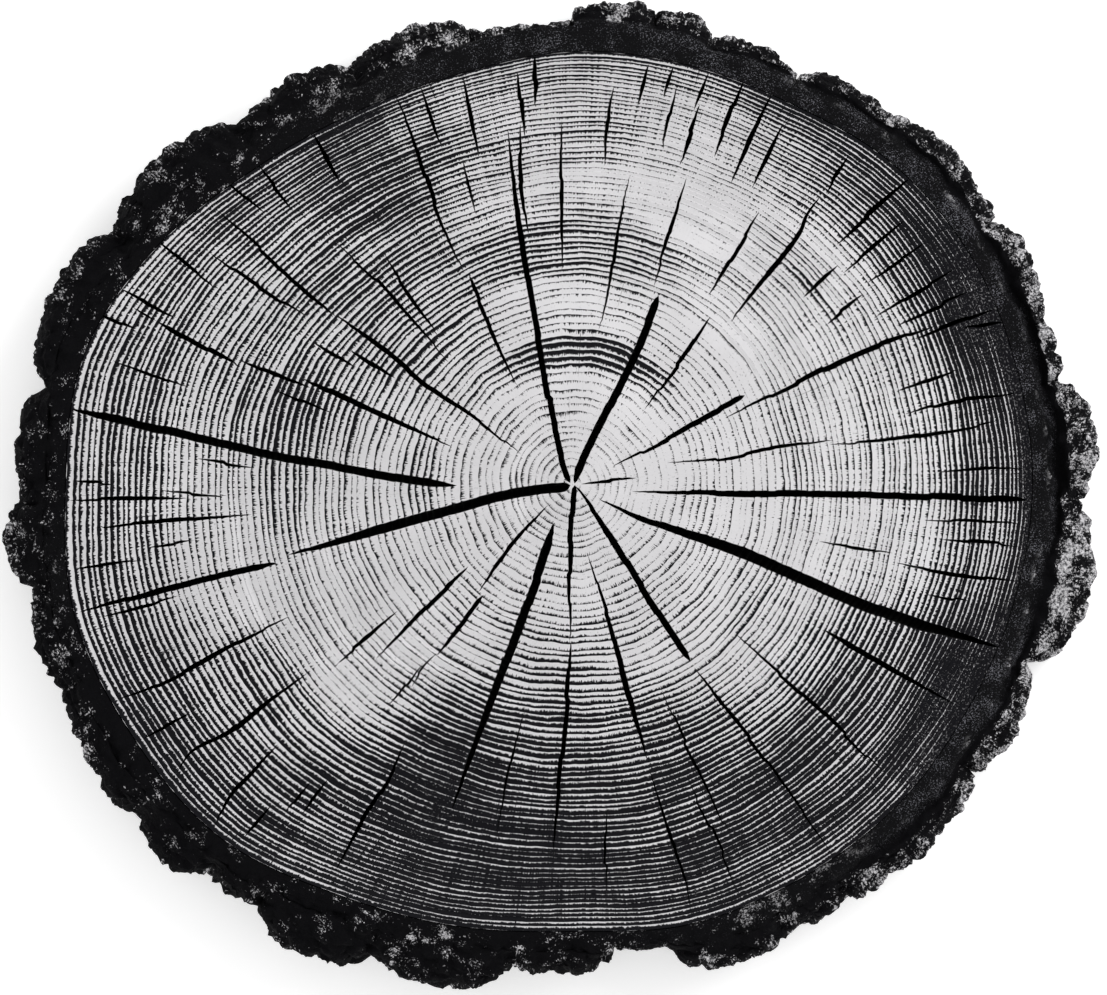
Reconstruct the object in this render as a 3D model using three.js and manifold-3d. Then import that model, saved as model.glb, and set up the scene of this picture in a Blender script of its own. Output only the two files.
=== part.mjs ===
// Slice sawn across a tree trunk: a wood disc with growth rings and drying cracks, in a ring of rugged bark.
// Millimetres, +Z up. The slice lies flat, with its origin under the middle of its outline.
import * as THREE from 'three';
import { mergeVertices } from 'three/addons/utils/BufferGeometryUtils.js';
import Module from 'manifold-3d';

// Slice
const THICKNESS = 36;
const PITH_X = 5.85;
const PITH_Y = 4.05;

// Wood outline: distance from the pith to the bark every 15 degrees, anticlockwise from +X
const WOOD_RADII = [
  137.7, 137.4, 137.4, 135.6, 131.4, 130.2, 129.6, 127.5, 129.0, 134.1, 143.4, 151.5,
  152.1, 154.5, 152.1, 149.7, 141.9, 137.1, 134.1, 136.5, 136.5, 136.8, 136.2, 136.8,
];
const WOOD_SIDES = 64;

// Growth rings: the years that the trunk grew, and the grooves that mark every few of them on the sawn face
const YEARS = 74;
const FIRST_YEAR_WIDTH = 2.5;
const YEARS_PER_GROOVE = 7;
const GROOVE_WIDTH = 1.8;
const GROOVE_DEPTH = 0.7;

// Drying cracks: the widest opening, then points along the crack as [degrees, distance from the pith]
const CRACKS = [
  { width: 2.0, path: [[100.5, 102], [102, 67], [103.5, 41], [106.5, 23], [112.5, 9.5], [127, 1.5]] },
  { width: 2.3, path: [[65.5, 61], [64.5, 46], [64.5, 33], [65.5, 19.5], [67.5, 9.5], [60, 2.5]] },
  { width: 1.5, path: [[27, 57], [26.5, 43], [25, 29], [23, 14]] },
  { width: 1.1, path: [[24.5, 109], [24.5, 91], [24, 75], [23.5, 59]] },
  { width: 1.1, path: [[9.5, 79], [10, 60], [9.5, 46], [12, 30]] },
  { width: 1.8, path: [[352.5, 18], [355.5, 32], [357, 53], [358, 92], [358, 133]] },
  { width: 3.3, path: [[329.5, 9.5], [333, 22], [336, 35], [338, 54], [337.5, 97], [339, 133]] },
  { width: 2.0, path: [[310, 5], [307, 13.5], [304.5, 28], [303.5, 42], [303.5, 62]] },
  { width: 1.1, path: [[303, 66], [304.5, 86], [305, 102], [305, 117], [305, 132]] },
  { width: 1.8, path: [[282, 25], [284.5, 39], [285, 52], [285, 67], [285, 84]] },
  { width: 1.5, path: [[285, 3], [268, 11], [267.5, 23], [269, 46]] },
  { width: 1.4, path: [[269.5, 49], [268.5, 65], [267.5, 87], [267, 110]] },
  { width: 2.6, path: [[244, 14.5], [249, 28], [249.5, 45], [249.5, 80], [249.5, 103]] },
  { width: 1.2, path: [[220.5, 11], [224, 22], [226, 31], [228, 39]] },
  { width: 1.4, path: [[218.5, 41], [220, 56], [221, 69], [221.5, 77]] },
  { width: 1.4, path: [[231, 43], [231.5, 54], [231.5, 65]] },
  { width: 3.0, path: [[211, 2], [190.5, 10], [190, 22], [192, 35], [193.5, 63], [194, 85]] },
  { width: 1.5, path: [[195, 94], [195, 116], [195, 137], [194.5, 149]] },
  { width: 2.3, path: [[171.5, 148], [173, 113], [174.5, 91], [175.5, 73], [178, 52], [181, 36]] },
  { width: 1.7, path: [[158.5, 86], [159.5, 69], [161, 51], [163, 39]] },
  { width: 1.5, path: [[144.5, 86], [144.5, 69], [146, 52], [146, 35], [151, 19]] },
  { width: 1.2, path: [[142.5, 133], [143, 119], [144, 103], [144.5, 89]] },
  { width: 1.4, path: [[158.5, 133], [159.5, 120], [160.5, 107]] },
  { width: 1.2, path: [[116.5, 68], [117.5, 55], [119.5, 35]] },
  { width: 1.4, path: [[49, 112], [48.5, 105], [47.5, 90], [46, 69]] },
  { width: 1.2, path: [[55.5, 98], [55, 87], [54, 71]] },
  { width: 1.2, path: [[50.5, 64], [49, 53], [48, 41], [46, 32]] },
  { width: 1.7, path: [[330, 88], [330, 99], [330, 115], [330, 130]] },
  { width: 1.2, path: [[317, 67], [317.5, 91], [317.5, 106], [317, 127]] },
  { width: 1.2, path: [[237, 93], [238, 105], [238, 120], [238.5, 135]] },
];
const CRACK_STEP = 14;
const CRACK_DEPTH_PER_WIDTH = 12;
const THROUGH_CRACK_WIDTH = 2.2;
const OVERCUT = 1;

// Bark plates, anticlockwise: where a plate starts and its crest stands, in degrees, with the distances from
// the pith to the furrow at its start and to its crest
const PLATES = [
  { start: -1.6, furrow: 151.8, peak: 4.5, crest: 158.7 },
  { start: 12, furrow: 150.0, peak: 16, crest: 151.8 },
  { start: 18.8, furrow: 150.0, peak: 27, crest: 153.9 },
  { start: 32, furrow: 148.8, peak: 40, crest: 152.7 },
  { start: 48.5, furrow: 145.8, peak: 55, crest: 147.0 },
  { start: 61, furrow: 139.2, peak: 67.5, crest: 143.7 },
  { start: 72.5, furrow: 139.2, peak: 77, crest: 146.1 },
  { start: 80, furrow: 143.4, peak: 83.5, crest: 146.4 },
  { start: 90, furrow: 139.8, peak: 96, crest: 140.1 },
  { start: 103, furrow: 139.2, peak: 111, crest: 146.4 },
  { start: 118.4, furrow: 141.6, peak: 128, crest: 149.7 },
  { start: 133.5, furrow: 148.2, peak: 147.6, crest: 159.9 },
  { start: 151.5, furrow: 156.9, peak: 163, crest: 168.3 },
  { start: 169.6, furrow: 160.8, peak: 175, crest: 168.9 },
  { start: 182, furrow: 166.8, peak: 185.6, crest: 172.2 },
  { start: 190.8, furrow: 163.8, peak: 197, crest: 169.2 },
  { start: 202, furrow: 165.9, peak: 211, crest: 168.6 },
  { start: 217.5, furrow: 164.7, peak: 222, crest: 168.3 },
  { start: 226.6, furrow: 159.0, peak: 229.5, crest: 161.4 },
  { start: 233, furrow: 160.5, peak: 238, crest: 163.5 },
  { start: 246.4, furrow: 155.4, peak: 253, crest: 157.8 },
  { start: 262.5, furrow: 145.8, peak: 267, crest: 147.9 },
  { start: 275, furrow: 139.8, peak: 278, crest: 142.2 },
  { start: 281.6, furrow: 141.6, peak: 290.5, crest: 153.6 },
  { start: 296.5, furrow: 149.7, peak: 299.5, crest: 150.6 },
  { start: 303.5, furrow: 148.5, peak: 316, crest: 153.6 },
  { start: 324, furrow: 147.6, peak: 329.6, crest: 152.7 },
  { start: 338.5, furrow: 147.6, peak: 347, crest: 159.6 },
];
const PLATE_COLUMNS = [0, 0.06, 0.15, 0.3, 0.5, 0.7, 0.85, 0.94];
const BARK_GAP = 0.3;
const FURROW_DROP = 4;
const PLATE_WANDER = 1.2;
const WANDER_TURNS = 5;

// Cross cracks split each plate once, at one of these points of the section
const CROSS_CRACK_DEPTH = 3.2;
const CROSS_CRACK_POINTS = [4, 5, 6];
const CROSS_CRACK_SEED = 7;

// Crags: small lumps and hollows on the bark, from a repeatable draw on a grid of cells
const CRAG_REACH = 2.2;
const CRAG_CELLS_ROUND = 168;
const CRAG_CELL_HEIGHT = 6;
const CRAG_SEED = 41;

// Section of the bark: share of the way out from the wood, share of the thickness,
// and how strongly crags and furrows move that point
const BARK_SECTION = [
  { out: 0, up: 0, crag: 0, furrow: 0 },
  { out: 0.55, up: 0, crag: 0, furrow: 0 },
  { out: 0.9, up: 0.06, crag: 0.6, furrow: 0 },
  { out: 0.98, up: 0.18, crag: 1, furrow: 0 },
  { out: 1, up: 0.32, crag: 1, furrow: 0 },
  { out: 1, up: 0.46, crag: 1, furrow: 0 },
  { out: 1, up: 0.6, crag: 1, furrow: 0 },
  { out: 1, up: 0.73, crag: 1, furrow: 0.2 },
  { out: 0.96, up: 0.84, crag: 0.8, furrow: 0.7 },
  { out: 0.86, up: 0.92, crag: 0.5, furrow: 1 },
  { out: 0.72, up: 0.965, crag: 0.4, furrow: 1 },
  { out: 0.56, up: 0.965, crag: 0.3, furrow: 0.8 },
  { out: 0.48, up: 0.88, crag: 0.2, furrow: 0.2 },
  { out: 0.41, up: 0.99, crag: 0, furrow: 0 },
  { out: 0, up: 0.99, crag: 0, furrow: 0 },
];

// Finish
const WOOD_LOOK = { color: 0xd9d6d8, roughness: 0.8, metalness: 0 };
const BARK_LOOK = { color: 0x242327, roughness: 0.95, metalness: 0 };

const wasm = await Module();
wasm.setup();

const MEAN_WOOD_RADIUS = WOOD_RADII.reduce((sum, radius) => sum + radius, 0) / WOOD_RADII.length;
const YEARLY_NARROWING = (FIRST_YEAR_WIDTH * YEARS - MEAN_WOOD_RADIUS) / YEARS ** 2;

// Point at an angle and distance from the pith
function fromPith(degrees, distance) {
  const angle = THREE.MathUtils.degToRad(degrees);
  return new THREE.Vector2(
    PITH_X + distance * Math.cos(angle),
    PITH_Y + distance * Math.sin(angle),
  );
}

// Wood radius at any angle: a smooth closed curve through the listed radii
function woodRadius(degrees) {
  const count = WOOD_RADII.length;
  const place = THREE.MathUtils.euclideanModulo(degrees / 360, 1) * count;
  const first = Math.floor(place);
  const t = place - first;
  const radiusAt = (step) => WOOD_RADII[(first + step + count) % count];
  const slopeIn = (radiusAt(1) - radiusAt(-1)) / 2;
  const slopeOut = (radiusAt(2) - radiusAt(0)) / 2;
  const rise = radiusAt(1) - radiusAt(0);
  const bend = 3 * rise - 2 * slopeIn - slopeOut;
  const twist = slopeIn + slopeOut - 2 * rise;
  return radiusAt(0) + t * (slopeIn + t * (bend + t * twist));
}

// A growth ring is round near the pith and takes the trunk's outline towards the rim
function ringRadius(share, degrees) {
  return MEAN_WOOD_RADIUS * share + (woodRadius(degrees) - MEAN_WOOD_RADIUS) * share ** 3;
}

// Mean radius that the trunk had reached after a number of years, each ring a little narrower than the last
function radiusAfter(years) {
  return FIRST_YEAR_WIDTH * years - YEARLY_NARROWING * years ** 2;
}

// Repeatable unevenness between -1 and 1, the same again after one turn
function cragAt(degrees, height) {
  const across = THREE.MathUtils.euclideanModulo(degrees / 360, 1) * CRAG_CELLS_ROUND;
  const along = height / CRAG_CELL_HEIGHT;
  const column = Math.floor(across);
  const row = Math.floor(along);
  const draw = (i, j) => {
    const cell = (column + i) % CRAG_CELLS_ROUND + (row + j) * CRAG_CELLS_ROUND;
    return 2 * THREE.MathUtils.seededRandom(CRAG_SEED + cell) - 1;
  };
  const u = THREE.MathUtils.smoothstep(across - column, 0, 1);
  const v = THREE.MathUtils.smoothstep(along - row, 0, 1);
  const low = THREE.MathUtils.lerp(draw(0, 0), draw(1, 0), u);
  const high = THREE.MathUtils.lerp(draw(0, 1), draw(1, 1), u);
  return THREE.MathUtils.lerp(low, high, v);
}

// Closed geometry with shared corners and no flat slivers, ready to be cut or shown
function closedGeometry(geometry) {
  geometry.deleteAttribute('normal');
  geometry.deleteAttribute('uv');
  const merged = mergeVertices(geometry);
  const corners = merged.index.array;
  const kept = [];
  for (let i = 0; i < corners.length; i += 3) {
    const [a, b, c] = corners.slice(i, i + 3);
    if (a !== b && b !== c && c !== a) {
      kept.push(a, b, c);
    }
  }
  merged.setIndex(kept);
  return merged;
}

function solidOf(geometry) {
  const closed = closedGeometry(geometry);
  return new wasm.Manifold(new wasm.Mesh({
    numProp: 3,
    vertProperties: new Float32Array(closed.attributes.position.array),
    triVerts: new Uint32Array(closed.index.array),
  }));
}

function geometryOf(solid) {
  const mesh = solid.getMesh();
  const geometry = new THREE.BufferGeometry();
  geometry.setAttribute('position', new THREE.BufferAttribute(mesh.vertProperties, 3));
  geometry.setIndex(new THREE.BufferAttribute(mesh.triVerts, 1));
  geometry.computeVertexNormals();
  return geometry;
}

// Turned section whose every point is then moved to place(point index, column index)
function reshapedLathe(section, columns, place) {
  const geometry = new THREE.LatheGeometry(section, columns);
  const position = geometry.attributes.position;
  for (let i = 0; i < position.count; i += 1) {
    const column = Math.floor(i / section.length) % columns;
    const spot = place(i % section.length, column);
    position.setXYZ(i, spot.x, spot.y, spot.z);
  }
  return geometry;
}

// Half section of the disc, from the middle of the underside round to the pith, as share of radius and height
function discSection() {
  const section = [
    new THREE.Vector2(0, 0),
    new THREE.Vector2(1, 0),
    new THREE.Vector2(1, THICKNESS),
  ];
  const halfGroove = GROOVE_WIDTH / 2 / MEAN_WOOD_RADIUS;
  const lastGroove = Math.floor((YEARS - 1) / YEARS_PER_GROOVE);
  for (let groove = lastGroove; groove >= 1; groove -= 1) {
    const share = radiusAfter(groove * YEARS_PER_GROOVE) / MEAN_WOOD_RADIUS;
    section.push(
      new THREE.Vector2(share + halfGroove, THICKNESS),
      new THREE.Vector2(share, THICKNESS - GROOVE_DEPTH),
      new THREE.Vector2(share - halfGroove, THICKNESS),
    );
  }
  section.push(new THREE.Vector2(0, THICKNESS));
  return section;
}

// Crack: a slot along a curve that closes to a point at both ends, deeper the wider it is
function crackSolid({ width, path }) {
  const curve = new THREE.SplineCurve(path.map(([degrees, distance]) => fromPith(degrees, distance)));
  const steps = Math.round(curve.getLength() / CRACK_STEP) + 2;
  const left = [];
  const right = [];
  for (let step = 1; step < steps; step += 1) {
    const t = step / steps;
    const middle = curve.getPoint(t);
    const along = curve.getTangent(t);
    const across = new THREE.Vector2(-along.y, along.x);
    const half = width / 2 * (1 - Math.abs(2 * t - 1) ** 3);
    left.push(middle.clone().addScaledVector(across, half));
    right.push(middle.clone().addScaledVector(across, -half));
  }
  const outline = new THREE.Shape([curve.getPoint(0), ...right, curve.getPoint(1), ...left.reverse()]);
  const through = width >= THROUGH_CRACK_WIDTH;
  const depth = through ? THICKNESS + OVERCUT : width * CRACK_DEPTH_PER_WIDTH;
  const slot = new THREE.ExtrudeGeometry(outline, { depth: depth + OVERCUT, bevelEnabled: false });
  slot.translate(0, 0, THICKNESS - depth);
  return solidOf(slot);
}

function makeWood() {
  const section = discSection();
  const disc = reshapedLathe(section, WOOD_SIDES, (point, column) => {
    const degrees = column / WOOD_SIDES * 360;
    const spot = fromPith(degrees, ringRadius(section[point].x, degrees));
    return new THREE.Vector3(spot.x, spot.y, section[point].y);
  });
  let solid = solidOf(disc);
  for (const crack of CRACKS) {
    solid = solid.subtract(crackSolid(crack));
  }
  return new THREE.Mesh(geometryOf(solid), new THREE.MeshStandardMaterial(WOOD_LOOK));
}

// Columns of the bark: the angle, the outer radius, how far the plate stands out there, from 0 to 1,
// and the point of the section where a crack crosses the plate
function barkColumns() {
  return PLATES.flatMap((plate, i) => {
    const next = PLATES[(i + 1) % PLATES.length];
    const sweep = THREE.MathUtils.euclideanModulo(next.start - plate.start, 360);
    const peakShare = (plate.peak - plate.start) / sweep;
    const pick = THREE.MathUtils.seededRandom(CROSS_CRACK_SEED + i) * CROSS_CRACK_POINTS.length;
    const crossPoint = CROSS_CRACK_POINTS[Math.floor(pick)];
    return PLATE_COLUMNS.map((share) => {
      const rising = share < peakShare;
      const turn = rising ? share / peakShare / 2 : 0.5 + (share - peakShare) / (1 - peakShare) / 2;
      const relief = Math.sqrt(Math.sin(Math.PI * turn));
      const floor = THREE.MathUtils.lerp(plate.furrow, next.furrow, share);
      return {
        degrees: plate.start + share * sweep,
        outer: floor + (plate.crest - floor) * relief,
        relief,
        crossPoint,
      };
    });
  });
}

function makeBark() {
  const columns = barkColumns();
  const section = [...BARK_SECTION, BARK_SECTION[0]];
  const outline = section.map(({ out, up }) => new THREE.Vector2(1 + out, up));
  const ring = reshapedLathe(outline, columns.length, (point, column) => {
    const { out, up, crag, furrow } = section[point];
    const { degrees, outer, relief, crossPoint } = columns[column];
    const inner = woodRadius(degrees) + BARK_GAP;
    const cut = point === crossPoint ? CROSS_CRACK_DEPTH * relief : 0;
    const unevenness = CRAG_REACH * crag * cragAt(degrees, up * THICKNESS) - cut;
    const wave = Math.sin(WANDER_TURNS * (THREE.MathUtils.degToRad(degrees) + up));
    const wander = PLATE_WANDER * crag * (1 - up) * wave;
    const spot = fromPith(degrees + wander, THREE.MathUtils.lerp(inner, outer, out) + unevenness);
    const drop = FURROW_DROP * furrow * (1 - relief);
    return new THREE.Vector3(spot.x, spot.y, up * THICKNESS - drop);
  });
  const closed = closedGeometry(ring);
  closed.computeVertexNormals();
  return new THREE.Mesh(closed, new THREE.MeshStandardMaterial(BARK_LOOK));
}

const slice = new THREE.Group();
const wood = makeWood();
wood.name = 'wood';
const bark = makeBark();
bark.name = 'bark';
slice.add(wood, bark);

export default slice;
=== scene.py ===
"""Dresses a slice sawn across a tree trunk: ringed and cracked wood in a collar of rugged bark.

Lengths in the lists below are in millimetres, as the slice was measured. The meshes are in metres.
"""
import math

import bmesh
import bpy
import numpy as np
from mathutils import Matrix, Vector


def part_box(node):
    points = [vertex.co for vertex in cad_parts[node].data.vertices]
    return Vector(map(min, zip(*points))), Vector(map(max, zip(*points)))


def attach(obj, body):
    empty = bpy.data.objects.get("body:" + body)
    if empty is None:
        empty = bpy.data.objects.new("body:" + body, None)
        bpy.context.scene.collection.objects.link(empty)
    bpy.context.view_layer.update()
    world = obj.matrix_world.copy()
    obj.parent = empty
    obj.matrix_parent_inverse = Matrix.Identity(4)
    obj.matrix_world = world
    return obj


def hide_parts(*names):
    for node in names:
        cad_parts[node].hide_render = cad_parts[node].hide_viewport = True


bl_info = {
    "name": "Wood slice",
    "version": (1, 0, 0),
    "blender": (4, 5, 0),
    "location": "View3D > Sidebar > Wood slice",
    "description": "Builds the wood, the bark and the stage of a sawn wood slice",
    "category": "Object",
}

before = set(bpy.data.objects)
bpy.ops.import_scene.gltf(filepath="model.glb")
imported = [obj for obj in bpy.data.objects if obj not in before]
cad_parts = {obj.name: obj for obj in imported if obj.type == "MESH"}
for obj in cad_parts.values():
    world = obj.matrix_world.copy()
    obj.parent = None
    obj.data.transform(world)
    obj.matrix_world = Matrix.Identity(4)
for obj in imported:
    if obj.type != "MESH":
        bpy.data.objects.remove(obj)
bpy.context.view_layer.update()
WOOD_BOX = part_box("wood")
THICKNESS = WOOD_BOX[1][2]
MM = 0.001

# Wood outline: distance from the pith to the bark every 15 degrees, anticlockwise from +X
WOOD_RADII = np.array([
    137.7, 137.4, 137.4, 135.6, 131.4, 130.2, 129.6, 127.5, 129.0, 134.1, 143.4, 151.5,
    152.1, 154.5, 152.1, 149.7, 141.9, 137.1, 134.1, 136.5, 136.5, 136.8, 136.2, 136.8,
])
MEAN_WOOD_RADIUS = WOOD_RADII.mean()

# Slow waves in the growth rings: how many to a turn, how much they drift each year, phase, height
RING_WAVES = [(3, 0.11, 0.5, 0.30), (7, -0.17, 1.7, 0.22), (13, 0.31, 4.1, 0.16), (29, -0.23, 2.6, 0.10)]

# Drying cracks: widest opening, share of the length over which each end closes, then points along the
# crack as (degrees, distance from the pith)
CRACKS = [
    (1.9, 0.3, 0.02, [
        (100.5, 108), (101.2, 92), (102, 67), (103.5, 41), (106.5, 23), (112.5, 9.5), (124, 3), (150, 0.7),
    ]),
    (2.4, 0.05, 0.06, [
        (65.5, 62), (64.5, 46), (64.5, 33), (65.5, 19.5), (67.5, 9.5), (68, 3.5), (20, 0.4),
    ]),
    (1.8, 0.06, 0.6, [(27, 58), (26.5, 43), (25, 29), (23, 13)]),
    (1.8, 0.3, 0.5, [(23.6, 119), (24.5, 98), (24.5, 83), (24, 70), (23.5, 50)]),
    (1.2, 0.3, 0.5, [(9.5, 79), (10, 60), (9.5, 46), (12, 29)]),
    (2.1, 0.3, 0.05, [(352.5, 18), (355.5, 32), (357, 53), (358, 92), (358, 136.5)]),
    (3.5, 0.35, 0.2, [(329.5, 9.5), (333, 22), (336, 35), (338, 54), (337.5, 97), (339, 137)]),
    (2.1, 0.3, 0.06, [(300, 0.8), (311, 4), (307, 13.5), (304.5, 28), (303.5, 42), (303.5, 64)]),
    (1.2, 0.2, 0.6, [(303, 66), (304.5, 86), (305, 102), (305, 117), (305, 135)]),
    (1.9, 0.6, 0.3, [(282, 22), (284.5, 39), (285, 52), (285, 67), (285, 86)]),
    (1.7, 0.03, 0.6, [(310, 0.4), (270, 4), (268, 11), (267.5, 23), (269, 47)]),
    (1.5, 0.2, 0.4, [(269.5, 47), (268.5, 65), (267.5, 87), (267, 112)]),
    (2.7, 0.08, 0.5, [(244, 13), (249, 28), (249.5, 45), (249.5, 80), (249.5, 105)]),
    (1.3, 0.4, 0.3, [(220.5, 10), (224, 22), (226, 31), (228.5, 43)]),
    (1.5, 0.2, 0.5, [(218.5, 40), (220, 56), (221, 69), (221.5, 79)]),
    (1.5, 0.1, 0.4, [(231, 43), (231.5, 54), (231.5, 66)]),
    (3.1, 0.025, 0.35, [(216, 0.9), (200, 4), (190.5, 10), (190, 22), (192, 35), (193.5, 63), (194, 88)]),
    (2.0, 0.1, 0.4, [(195, 92), (194.5, 116), (194.5, 137), (194.5, 153)]),
    (2.6, 0.1, 0.08, [(171.5, 152), (173, 113), (174.5, 91), (175.5, 73), (178, 52), (181, 35)]),
    (1.8, 0.2, 0.5, [(158.5, 87), (159.5, 69), (161, 51), (163, 38)]),
    (1.6, 0.2, 0.5, [(144.5, 87), (144.5, 69), (146, 52), (146, 35), (151, 18)]),
    (1.3, 0.5, 0.2, [(142.5, 135), (143, 119), (144, 103), (144.5, 87)]),
    (1.6, 0.2, 0.3, [(158.5, 134), (159.5, 120), (160.5, 106)]),
    (1.3, 0.1, 0.5, [(116.5, 70), (117.5, 55), (119.5, 34)]),
    (1.7, 0.4, 0.4, [(49.3, 114), (49, 107), (47.6, 98), (46, 68)]),
    (1.3, 0.4, 0.3, [(55.5, 99), (55, 87), (54, 70)]),
    (1.4, 0.3, 0.6, [(50.5, 65), (49, 53), (48, 41), (46, 31)]),
    (1.8, 0.2, 0.5, [(330, 87), (330, 99), (330, 115), (330, 132)]),
    (1.3, 0.4, 0.4, [(317, 66), (317.5, 91), (317.5, 106), (317, 128)]),
    (1.4, 0.4, 0.4, [(237, 92), (238, 105), (238, 120), (238.5, 136)]),
]

# Fine checks: widest opening, then the points, closing at both ends
FINE_CHECKS = [
    (1.4, [(9, 78), (8, 93), (8, 116), (8.4, 130)]),
    (1.2, [(2, 2.5), (5.5, 10), (4.5, 19)]),
    (1.1, [(285, 87), (285.5, 107), (286, 122), (285.5, 134)]),
    (0.8, [(231.5, 65), (231, 71), (231.5, 78)]),
    (1.5, [(114.5, 129), (114.6, 116), (115.5, 103), (116.5, 90), (117.5, 71)]),
    (1.3, [(84, 120), (84.5, 107), (84.5, 96)]),
    (1.8, [(42.1, 137), (42.3, 121), (42.2, 107)]),
    (1.3, [(69.5, 98), (69, 82), (68, 64)]),
    (1.7, [(67.2, 132), (66.9, 118), (66.6, 107)]),
    (1.7, [(62.9, 131), (62.8, 117), (62.4, 102)]),
    (1.6, [(59.6, 125), (58.8, 104)]),
    (1.2, [(79.5, 94), (80, 77), (79.5, 61), (80, 47)]),
    (1.6, [(71.5, 120), (71.5, 110), (71.5, 101)]),
    (1.3, [(79.8, 128), (80.3, 115)]),
    (1.2, [(76.5, 129), (76.9, 119)]),
    (1.2, [(71.6, 130), (72, 118)]),
    (1.2, [(75.5, 123), (75.2, 104)]),
    (1.4, [(49.8, 128), (49.1, 116)]),
    (1.4, [(38.5, 127), (38.1, 103)]),
    (1.3, [(34.3, 128), (34.2, 107)]),
    (1.5, [(29.3, 131), (28.9, 104)]),
    (1.3, [(25.8, 132), (26.2, 108)]),
    (1.5, [(22.6, 137), (23, 111)]),
    (1.3, [(20.6, 138), (21.6, 126)]),
    (1.5, [(39.4, 103), (38.8, 89)]),
    (1.4, [(33.1, 104), (32.3, 90)]),
    (1.1, [(293.5, 67), (293.5, 83), (294, 97), (294, 115)]),
    (0.9, [(291, 93), (292, 114), (292, 133)]),
    (0.9, [(276, 97), (274.5, 123)]),
    (0.9, [(258, 69), (257.5, 82), (257.5, 109)]),
    (0.9, [(230, 70), (230.5, 79), (230.5, 87)]),
    (1.8, [(215.4, 98), (215.6, 114), (215.9, 127), (215.1, 139), (216, 147)]),
    (1.7, [(205.2, 94), (205.4, 112), (205.9, 134), (205.4, 151)]),
    (1.5, [(221.4, 118), (221.9, 131), (222.2, 139), (223.6, 149)]),
    (1.1, [(230.4, 115), (230.6, 128)]),
    (1.0, [(228.6, 119), (228.9, 131)]),
    (1.1, [(226.7, 132), (227.1, 145)]),
    (1.3, [(210.9, 134), (210.6, 150)]),
    (1.4, [(216.2, 65), (216.8, 77), (217.1, 89)]),
    (1.5, [(185.5, 97), (185.4, 115), (185.2, 132), (185.4, 144)]),
    (1.5, [(182.2, 116), (182, 130), (181.8, 151)]),
    (1.5, [(98.5, 109), (99.6, 93), (100, 76)]),
    (1.3, [(91.8, 109), (92.1, 95), (92.6, 78), (93.1, 64)]),
    (1.5, [(97.6, 125), (98, 105)]),
    (1.3, [(110.8, 128), (111.3, 108)]),
    (1.0, [(108.9, 103), (110.1, 86)]),
    (1.1, [(138.8, 139), (138.6, 123)]),
    (1.3, [(149.5, 146), (151.4, 122)]),
    (1.4, [(156.6, 148), (157.3, 129)]),
    (1.3, [(160.3, 152), (160.6, 139)]),
    (1.1, [(164.9, 143), (165.8, 119)]),
    (1.3, [(151.3, 89), (151.7, 74)]),
    (1.1, [(162.3, 94), (163.8, 75)]),
    (1.7, [(94.9, 130), (95.2, 123), (95.9, 114)]),
    (1.5, [(104.9, 127), (105.5, 113), (106, 102)]),
    (1.6, [(126.5, 131), (127.6, 114)]),
    (1.2, [(134.7, 135), (135.6, 117)]),
    (1.2, [(134.5, 103), (134, 86), (134.5, 71), (135.5, 52)]),
    (1.3, [(129.5, 89), (131, 74), (132, 60)]),
    (1.4, [(147.4, 129), (147.8, 112), (148, 94)]),
    (1.6, [(149, 78), (149.5, 62)]),
    (1.1, [(347, 76), (348, 98)]),
    (1.5, [(346.3, 100), (346.8, 119), (347.6, 136)]),
    (1.3, [(16.1, 101), (16.6, 121)]),
    (1.5, [(11.7, 102), (12.3, 116), (11.6, 131), (11.6, 136)]),
    (1.1, [(1.8, 109), (2.2, 125), (1.9, 136)]),
    (1.1, [(354.1, 106), (355, 135)]),
    (1.3, [(351.5, 112), (352.2, 135)]),
    (1.0, [(342.8, 111), (343.4, 124)]),
    (1.2, [(189.7, 152), (190, 132)]),
    (1.0, [(188.3, 129), (188.4, 115)]),
    (1.0, [(181, 123), (181.9, 104)]),
    (1.1, [(179.8, 150), (179.9, 138)]),
    (1.2, [(195.6, 147), (195.9, 123)]),
    (1.1, [(176.3, 113), (176.9, 96)]),
    (1.5, [(159.5, 107), (160, 84)]),
    (0.8, [(158, 142), (158.5, 134)]),
]

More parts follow.
